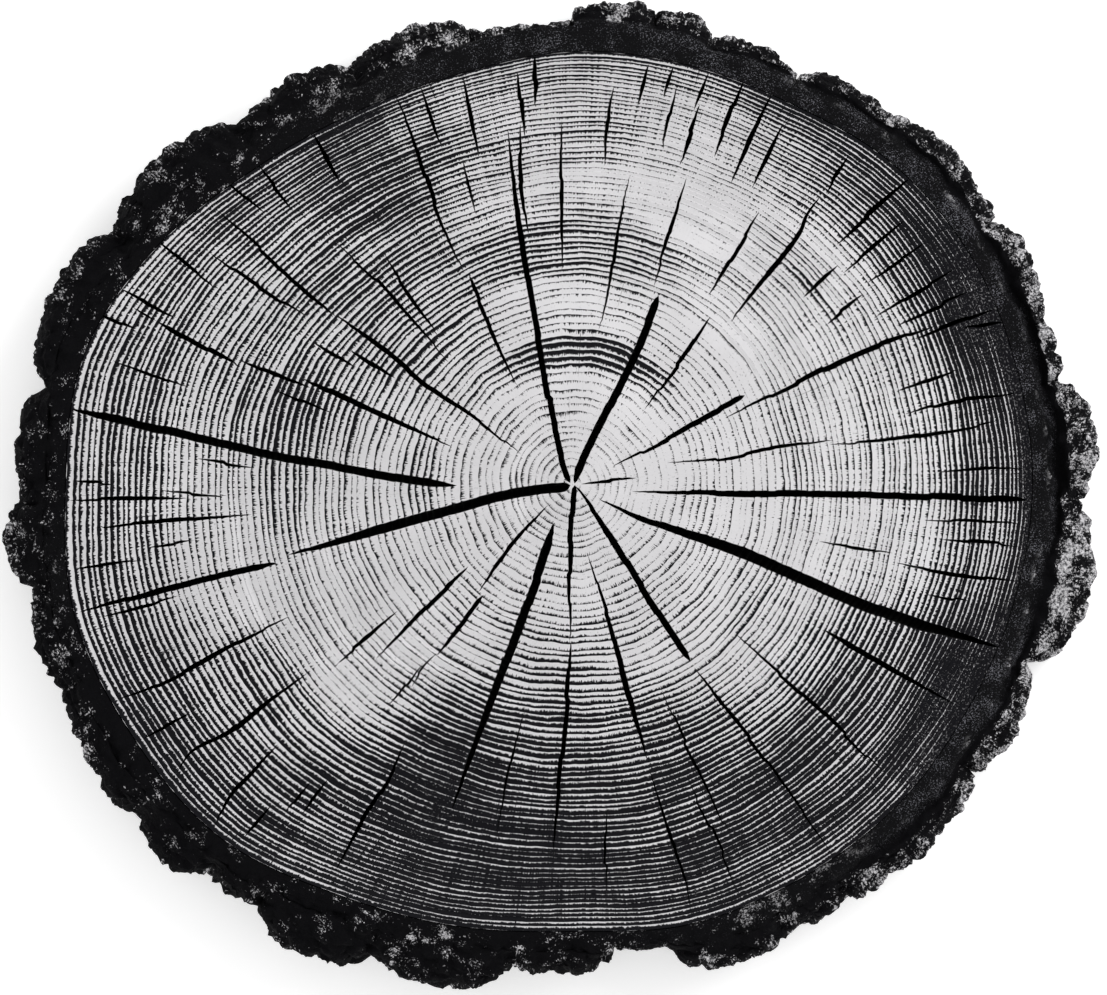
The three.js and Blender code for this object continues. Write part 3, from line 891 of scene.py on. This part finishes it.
def new_material(name):
    """A material with an empty Principled surface. Returns it with its builder and that surface."""
    material = bpy.data.materials.new(name)
    material.use_nodes = True
    build = Tree(material.node_tree)
    surface = material.node_tree.nodes["Principled BSDF"]
    return material, build, surface


def from_pith(build, pith):
    """The way from the pith: the whole vector, the flat direction, the distance and the height."""
    way = build.group(shared("From Pith", pith_group), {"Pith": tuple(pith)})
    return way["Offset"], (way["Heading X"], way["Heading Y"]), way["Distance"], way["Height"]


def wood_material(settings):
    """Sawn end grain: each ring pale, then dark to a sharp edge, frayed by fine radial streaks."""
    material, build, surface = new_material("wood")
    offset, heading, distance, _ = from_pith(build, settings.pith)

    def streaks(columns, length):
        aside_x = build.times(heading[0], columns)
        aside_y = build.times(heading[1], columns)
        along = build.times(distance, 1.0 / length)
        return build.noise(build.combined(aside_x, aside_y, along), 1.0, detail=3.0, roughness=0.7)

    far = build.ramp(distance, 0.03, 0.08)
    near_streak = streaks(columns=105.0, length=0.010)
    far_streak = streaks(columns=240.0, length=0.013)
    streak = build.add("ShaderNodeMix", {0: far, 2: near_streak, 3: far_streak}).outputs[0]
    wobble = build.times(build.minus(build.noise(offset, 240.0), 0.5), 0.4)
    year = build.plus(build.attribute("year"), wobble)
    ring = build.math("FLOOR", year)
    part = build.math("FRACT", year)
    ring_x = build.times(heading[0], 2.4)
    ring_y = build.times(heading[1], 2.4)
    ring_place = build.combined(ring_x, ring_y, build.times(ring, 1.37))
    ring_mood = build.minus(build.noise(ring_place, 1.0, detail=1.0), 0.5)
    grain = build.minus(build.noise(offset, 1500.0, detail=2.0), 0.5)
    dark_share = build.plus(build.attribute("ink"), build.times(ring_mood, 0.85))
    fray = build.ramp(build.attribute("ink"), 0.1, 0.8, 1.9, 0.9)
    frayed = build.plus(dark_share, build.times(build.minus(streak, 0.5), fray))
    frayed = build.plus(frayed, build.times(grain, 0.5))
    edge = build.minus(part, build.minus(1.0, frayed))
    ring_dark = build.ramp(edge, -0.07, 0.07)
    ray_level = build.plus(streaks(columns=150.0, length=0.03), build.times(dark_share, 0.12))
    late = build.math("MAXIMUM", ring_dark, build.ramp(ray_level, 0.72, 0.78))

    cloud = build.noise(offset, 45.0, detail=3.0)
    tint = build.ramp(build.plus(cloud, build.times(streak, 0.6)), 0.55, 1.05)
    soft_pale = [value * 0.88 for value in settings.pale]
    pale = build.mix(tint, rgba(soft_pale), rgba(settings.pale))
    pores = speckled(build, offset, 1300.0, 0.1)
    early = build.mix(build.times(pores, 0.35), pale, rgba(settings.dark))
    soaked = build.times(build.ramp(build.attribute("ink"), 0.8, 1.1, 0.0, 0.5), cloud)
    grit = speckled(build, offset, 1700.0, soaked)
    deep = build.mix(build.times(grit, 0.22), rgba(settings.dark), rgba(settings.pale))
    ringed = build.mix(late, early, deep)
    # Painted shade: the crack walls are coloured near-black
    crack_wall_shade = build.attribute("crack")
    build.link(build.mix(crack_wall_shade, ringed, rgba(settings.crack)), surface.inputs["Base Color"])
    build.link(build.ramp(late, 0.0, 1.0, 0.82, 0.62), surface.inputs["Roughness"])
    surface.inputs["Specular IOR Level"].default_value = 0.07
    height = build.plus(build.times(grain, 0.6), build.times(late, 0.4))
    bump = build.add("ShaderNodeBump", {"Height": height, "Strength": 0.35, "Distance": 0.0003})
    build.link(bump.outputs[0], surface.inputs["Normal"])
    return material


def plate_profile(turn):
    """Outer radius of the bark, and how far its plates stand out of their furrows, at angles in degrees."""
    starts = np.array([plate[0] for plate in PLATES])
    turn = (turn - starts[0]) % 360.0 + starts[0]
    here = np.searchsorted(starts, turn, side="right") - 1
    onward = (here + 1) % len(PLATES)
    start, furrow, peak, crest = np.array(PLATES)[here].T
    sweep = (starts[onward] - start) % 360.0
    along = (turn - start) / sweep
    peak_share = (peak - start) / sweep
    rising = along / peak_share / 2
    falling = 0.5 + (along - peak_share) / (1 - peak_share) / 2
    relief = np.sqrt(np.sin(np.pi * np.where(along < peak_share, rising, falling)).clip(0.0, 1.0))
    floor = furrow + (np.array(PLATES)[onward, 1] - furrow) * along
    return floor + (crest - floor) * relief, relief


def bark_mesh(settings, rings, thickness):
    """The ring of bark before its crags, with how rough and corky each point is, how pale it is painted
    from weathering and from painted highlight on the lit side, and how much painted shade darkens it in the
    crevice.
    """
    top_spread = 38.0
    least_band = 1.0
    least_plate = 1.8
    crevice_middle = 0.07
    crevice_reach = 0.15
    crevice_wander = 0.06
    crevice_dark = 2.5
    lip_middle = -0.1
    lip_reach = 0.12
    lip_highlight = 0.25
    left_middle = math.radians(220.0)
    columns = settings.columns
    turn = np.arange(columns) * 360.0 / columns
    inner = wood_radius(turn) + settings.gap / MM
    outer, relief = plate_profile(turn)
    back = (turn - 90.0 + 180.0) % 360.0 - 180.0
    band = (settings.inner_bark + settings.inner_bark_top * np.exp(-(back / top_spread) ** 2)) / MM
    angle = np.radians(turn)
    wander = sum(height * np.sin(count * angle + phase) for count, phase, height in BAND_WAVES)
    band = np.clip(band + wander, least_band, outer - inner - least_plate)
    broken = 0.65 + 0.35 * np.sin(11 * angle + 1.0) * np.sin(5 * angle + 2.0)
    ragged = sum(height * np.sin(count * angle + phase) for count, phase, height in CREVICE_WAVES)
    right = np.clip(np.cos(angle - 0.1), 0.0, 1.0) ** 2
    left = np.clip(0.3 + 1.2 * np.cos(angle - left_middle), 0.0, 1.0)
    crevice = right * broken * settings.crevice / MM
    # Paleness by angle: weathering, and painted highlight on the lit side
    weather = sum(
        amount * np.exp(-(((turn - middle + 180.0) % 360.0 - 180.0) / half) ** 2)
        for _, middle, half, amount in WEATHER_AND_PAINTED_LIGHT
    )
    points = []
    rough = []
    cork = []
    pale_wear_and_light = []
    crevice_painted_shade = []
    rows = []
    for here, onward in zip(BARK_SECTION, BARK_SECTION[1:] + BARK_SECTION[:1]):
        for step in range(here[4]):
            t = step / here[4]
            out, up, crag, furrow = (a + (b - a) * t for a, b in zip(here[:4], onward[:4]))
            on_top = up > 0.8
            from_crevice = out - crevice_middle - crevice_wander * ragged
            dip = np.exp(-(from_crevice / crevice_reach) ** 2) * on_top
            frayed = np.clip(0.5 + ragged, 0.0, 1.0)
            # Painted highlight: a pale lip along the edge of the crevice, on the lit right side only
            lip = np.exp(-((out - lip_middle) / lip_reach) ** 2) * on_top * right * frayed
            inner_top = on_top * (out < 0.1) * (out > -0.95)
            width = np.where(out < 0, band, outer - inner - band)
            radius = inner + band + width * out
            drop = furrow * (1 - relief) * settings.furrow_drop / MM + dip * crevice
            height = up * thickness / MM - drop
            first = len(points)
            spots = rings.place(turn, radius)
            points.extend(zip(spots[:, 0], spots[:, 1], height * MM))
            rough.extend(crag * (1 + 2 * left * inner_top))
            cork.extend(np.maximum(np.clip(out / 0.12, 0.0, 1.0), 0.9 * lip))
            # Paleness from weathering and painted highlight, raised along the lip
            pale_wear_and_light.extend(weather + lip_highlight * lip)
            # Painted shade: how much the bark is painted darker deep in the crevice
            crevice_painted_shade.extend(np.clip(dip * crevice / crevice_dark, 0.0, 1.0))
            rows.append(list(range(first, first + columns)))
    faces = [face[::-1] for face in stitch(rows + rows[:1])]
    return points, faces, {"rough": rough, "cork": cork, "weather": pale_wear_and_light, "crevice": crevice_painted_shade}


def bark_tool():
    """Node tree that raises crags on the bark and notes how high each point stands."""
    build, given, result = new_node_tool("Bark crags", {
        "Crag": "NodeSocketFloat",
        "Grain": "NodeSocketFloat",
        "Seed": "NodeSocketInt",
        "Material": "NodeSocketMaterial",
    })
    rough = build.add("GeometryNodeInputNamedAttribute", {"Name": "rough"}, data_type="FLOAT").outputs[0]
    place = build.add("GeometryNodeInputPosition").outputs[0]
    normal = build.add("GeometryNodeInputNormal").outputs[0]
    spot = build.vector("ADD", place, build.combined(0.0, 0.0, given["Seed"]))
    stray = build.drift(spot, 85.0, 2.0)
    bent = build.vector("ADD", spot, build.scaled(stray, 0.012))
    squashed = build.vector("MULTIPLY", bent, (1.0, 1.0, 0.55))
    lumps = build.times(build.minus(build.noise(squashed, 95.0, detail=3.0), 0.5), 2.6)
    knobs = build.times(build.minus(build.noise(spot, 420.0, detail=2.0), 0.5), 2.6)

    def cells(vector, scale, gap):
        inputs = {"Vector": vector, "Scale": scale}
        edge = build.add("ShaderNodeTexVoronoi", inputs, feature="DISTANCE_TO_EDGE").outputs["Distance"]
        return build.minus(build.ramp(edge, 0.0, gap), 1.0)

    split = cells(squashed, 130.0, 0.22)
    crazed = cells(bent, 360.0, 0.25)
    large = build.plus(lumps, build.times(split, 0.6))
    small = build.plus(knobs, build.times(crazed, 0.9))
    high = build.times(large, given["Crag"])
    rise = build.plus(high, build.times(small, given["Grain"]))
    sideways = build.scaled(stray, build.times(given["Crag"], 1.6))
    push = build.vector("ADD", build.scaled(normal, rise), sideways)
    offset = build.scaled(push, rough)
    # How high each point stands, which the bark material uses to paint highlights on the crests
    crest = build.plus(build.times(large, 0.6), build.times(small, 0.5))
    noted = build.add("GeometryNodeStoreNamedAttribute", {
        "Geometry": given["Geometry"], "Name": "crest", "Value": crest,
    }, data_type="FLOAT", domain="POINT").outputs[0]
    raised = build.add("GeometryNodeSetPosition", {"Geometry": noted, "Offset": offset}).outputs[0]
    return end_node_tool(build, raised, given["Material"], result)


def bark_material(settings, pith):
    """Near-black bark: granular inner bark, and corky plates with pale grains on their crests, partly dry
    bark and partly painted highlight on the high points and the lit side, with painted shade in the
    crevice.
    """
    material, build, surface = new_material("bark")
    offset, heading, distance, height = from_pith(build, pith)

    def layered(columns, rows_per_metre):
        aside_x = build.times(heading[0], columns)
        aside_y = build.times(heading[1], columns)
        return build.combined(aside_x, aside_y, build.times(slope, rows_per_metre))

    slope = build.plus(distance, build.times(height, 0.6))
    layer_place = layered(columns=16.0, rows_per_metre=330.0)
    layers = build.minus(build.noise(layer_place, 1.0, detail=3.0, roughness=0.6), 0.5)
    grains = build.minus(build.noise(offset, 1100.0, detail=3.0, roughness=0.7), 0.5)
    crest = build.attribute("crest")
    # Paleness from weathering and from painted highlight on the lit side
    weather = build.attribute("weather")
    patches = build.minus(build.noise(offset, 120.0, detail=3.0, roughness=0.6), 0.5)
    # Crests get more pale flecks: painted highlight on the high points, mixed with the bark's own patches
    # and layers
    cover = build.plus(build.times(crest, 0.4), build.times(patches, 1.3))
    cover = build.plus(cover, build.times(layers, 1.7))
    cover = build.plus(cover, weather)
    # Painted shade: darker bark deep in the crevice
    cover = build.minus(cover, build.times(build.attribute("crevice"), 1.6))
    fleck_place = layered(columns=230.0, rows_per_metre=2400.0)
    flecks = speckled(build, fleck_place, 1.0, cover)
    worn = build.mix(build.ramp(cover, 0.3, 1.1), rgba(settings.dark), rgba(settings.worn))
    bright = build.mix(build.ramp(grains, -0.15, 0.15), rgba(settings.worn), rgba(settings.fleck_and_highlight))
    cork = build.mix(flecks, worn, bright)
    # Pale specks on the inner bark, more of them on the lit side: partly painted highlight
    blotch = build.ramp(build.noise(offset, 110.0, detail=3.0), 0.35, 0.65, 0.12, 0.36)
    dotted = build.times(blotch, build.ramp(weather, 0.22, 0.5, 0.35, 1.0))
    specks = speckled(build, offset, 2500.0, dotted)
    light_band = [value * 32.0 for value in settings.band]
    band = build.mix(specks, rgba(settings.band), rgba(light_band))
    # On the shaded side, where the paleness is low, the inner bark takes the darker plate colours
    fresh_shaded_side = build.minus(1.0, build.ramp(weather, 0.21, 0.36))
    on_plate = build.math("MAXIMUM", build.attribute("cork"), fresh_shaded_side)
    build.link(build.mix(on_plate, band, cork), surface.inputs["Base Color"])
    build.link(build.ramp(grains, -0.2, 0.2, 0.98, 0.8), surface.inputs["Roughness"])
    surface.inputs["Specular IOR Level"].default_value = 0.07
    bump_height = build.plus(grains, build.times(layers, 0.8))
    bump = build.add("ShaderNodeBump", {"Height": bump_height, "Strength": 0.8, "Distance": 0.0008})
    build.link(bump.outputs[0], surface.inputs["Normal"])
    return material


def finish_bark(mesh, thickness, columns):
    """Trims the bark to the sawn planes, and gives it its shading and its unrolled flat map."""
    mesh.attributes.remove(mesh.attributes["rough"])
    points = mesh_points(mesh)
    points[:, 2] = points[:, 2].clip(0.0, thickness)
    mesh.vertices.foreach_set("co", points.astype(np.float32).ravel())
    mesh.update()
    shade(mesh, 75)
    rows = len(mesh.vertices) // columns
    _, _, owner, corners = face_data(mesh)
    column = corners % columns
    row = corners // columns
    first_column = np.full(len(mesh.polygons), columns)
    np.minimum.at(first_column, owner, column)
    last_column = np.zeros(len(mesh.polygons), int)
    np.maximum.at(last_column, owner, column)
    first_row = np.full(len(mesh.polygons), rows)
    np.minimum.at(first_row, owner, row)
    last_row = np.zeros(len(mesh.polygons), int)
    np.maximum.at(last_row, owner, row)
    column = np.where((last_column - first_column > 1)[owner] & (column == 0), columns, column)
    row = np.where((last_row - first_row > 1)[owner] & (row == 0), rows, row)
    write_map(mesh, 0.005 + 0.99 * np.stack([column / columns, row / rows], axis=-1))


class WOODSLICE_OT_make_wood(bpy.types.Operator):
    """Builds the wood: sawn faces worn along the growth rings and split by drying cracks"""

    bl_idname = "wood_slice.make_wood"
    bl_label = "Make wood"

    def execute(self, context):
        settings = context.scene.wood_slice_wood
        rings = Rings(settings)
        points, faces, years, sawn = disc_mesh(rings, THICKNESS)
        wood = make_object("wood_slice", points, faces)
        store(wood.data, "year", years)
        store(wood.data, "sawn", sawn)
        material = wood_material(settings)
        wood.data.materials.append(material)
        line_points, line_edges, half_widths, depths = crack_lines(
            rings, settings.crack_depth, THICKNESS, settings.seed,
        )
        lines = make_object("crack_lines", line_points, [], line_edges)
        store(lines.data, "half_width", half_widths)
        store(lines.data, "depth", depths)
        mesh = run_node_tool(wood, wood_tool(), {
            "Ring Relief": settings.ring_relief, "Cracks": lines, "Thickness": THICKNESS,
            "Ragged": settings.ragged, "Seed": settings.seed, "Material": material,
        })
        bpy.data.objects.remove(lines)
        drop_spare_points(mesh)
        finish_wood(mesh, rings, THICKNESS, settings.seed)
        seat(wood, "wood")
        return {"FINISHED"}


class WOODSLICE_OT_make_bark(bpy.types.Operator):
    """Builds the bark: a dark inner band and a collar of craggy plates"""

    bl_idname = "wood_slice.make_bark"
    bl_label = "Make bark"

    def execute(self, context):
        settings = context.scene.wood_slice_bark
        wood = context.scene.wood_slice_wood
        rings = Rings(wood)
        points, faces, marks = bark_mesh(settings, rings, THICKNESS)
        bark = make_object("bark_collar", points, faces)
        for name, values in marks.items():
            store(bark.data, name, values)
        material = bark_material(settings, wood.pith)
        bark.data.materials.append(material)
        mesh = run_node_tool(bark, bark_tool(), {
            "Crag": settings.crag, "Grain": settings.grain, "Seed": wood.seed, "Material": material,
        })
        finish_bark(mesh, THICKNESS, settings.columns)
        seat(bark, "bark")
        return {"FINISHED"}


class WOODSLICE_OT_make_stage(bpy.types.Operator):
    """Sets up the pale floor, the soft light and the camera over the sawn face"""

    bl_idname = "wood_slice.make_stage"
    bl_label = "Make stage"

    def execute(self, context):
        settings = context.scene.wood_slice_stage
        scene = context.scene
        half = settings.floor_size / 2
        corners = [(-half, -half, 0.0), (half, -half, 0.0), (half, half, 0.0), (-half, half, 0.0)]
        floor = make_object("floor", corners, [(0, 1, 2, 3)])
        material, _, surface = new_material("floor")
        surface.inputs["Base Color"].default_value = rgba(settings.floor)
        surface.inputs["Roughness"].default_value = 0.9
        surface.inputs["Emission Color"].default_value = rgba(settings.floor)
        surface.inputs["Emission Strength"].default_value = settings.floor_glow
        floor.data.materials.append(material)

        world = bpy.data.worlds.new("sky")
        world.use_nodes = True
        world.node_tree.nodes["Background"].inputs["Color"].default_value = (1.0, 1.0, 1.0, 1.0)
        world.node_tree.nodes["Background"].inputs["Strength"].default_value = settings.sky
        scene.world = world

        lamp = bpy.data.lights.new("key_light", "AREA")
        lamp.energy = settings.key
        lamp.shape = "DISK"
        lamp.size = 1.6
        key = bpy.data.objects.new("key_light", lamp)
        key.location = (1.5, 1.2, 1.7)
        key.rotation_euler = (-key.location).to_track_quat("-Z", "Y").to_euler()
        scene.collection.objects.link(key)

        camera_data = bpy.data.cameras.new("camera")
        camera_data.lens = settings.lens
        camera = bpy.data.objects.new("camera", camera_data)
        camera.location = (0.0, 0.0, THICKNESS + settings.camera_height)
        scene.collection.objects.link(camera)
        scene.camera = camera
        scene.view_settings.view_transform = "Standard"
        return {"FINISHED"}


class WOODSLICE_PT_panel(bpy.types.Panel):
    """Settings of the wood slice, with a button for each piece"""

    bl_idname = "WOODSLICE_PT_panel"
    bl_label = "Wood slice"
    bl_space_type = "VIEW_3D"
    bl_region_type = "UI"
    bl_category = "Wood slice"

    def draw(self, context):
        rows = [
            (context.scene.wood_slice_wood, WOODSLICE_OT_make_wood),
            (context.scene.wood_slice_bark, WOODSLICE_OT_make_bark),
            (context.scene.wood_slice_stage, WOODSLICE_OT_make_stage),
        ]
        for settings, operator in rows:
            box = self.layout.box()
            for name in settings.bl_rna.properties.keys():
                if name not in ("rna_type", "name"):
                    box.prop(settings, name)
            box.operator(operator.bl_idname)


CLASSES = [
    WoodSettings,
    BarkSettings,
    StageSettings,
    WOODSLICE_OT_make_wood,
    WOODSLICE_OT_make_bark,
    WOODSLICE_OT_make_stage,
    WOODSLICE_PT_panel,
]


def register():
    for cls in CLASSES:
        bpy.utils.register_class(cls)
    bpy.types.Scene.wood_slice_wood = bpy.props.PointerProperty(type=WoodSettings)
    bpy.types.Scene.wood_slice_bark = bpy.props.PointerProperty(type=BarkSettings)
    bpy.types.Scene.wood_slice_stage = bpy.props.PointerProperty(type=StageSettings)


def unregister():
    del bpy.types.Scene.wood_slice_stage
    del bpy.types.Scene.wood_slice_bark
    del bpy.types.Scene.wood_slice_wood
    for cls in reversed(CLASSES):
        bpy.utils.unregister_class(cls)


def main():
    """Makes every piece in order."""
    register()
    bpy.ops.wood_slice.make_stage()
    bpy.ops.wood_slice.make_wood()
    bpy.ops.wood_slice.make_bark()


if __name__ == "__main__":
    main()
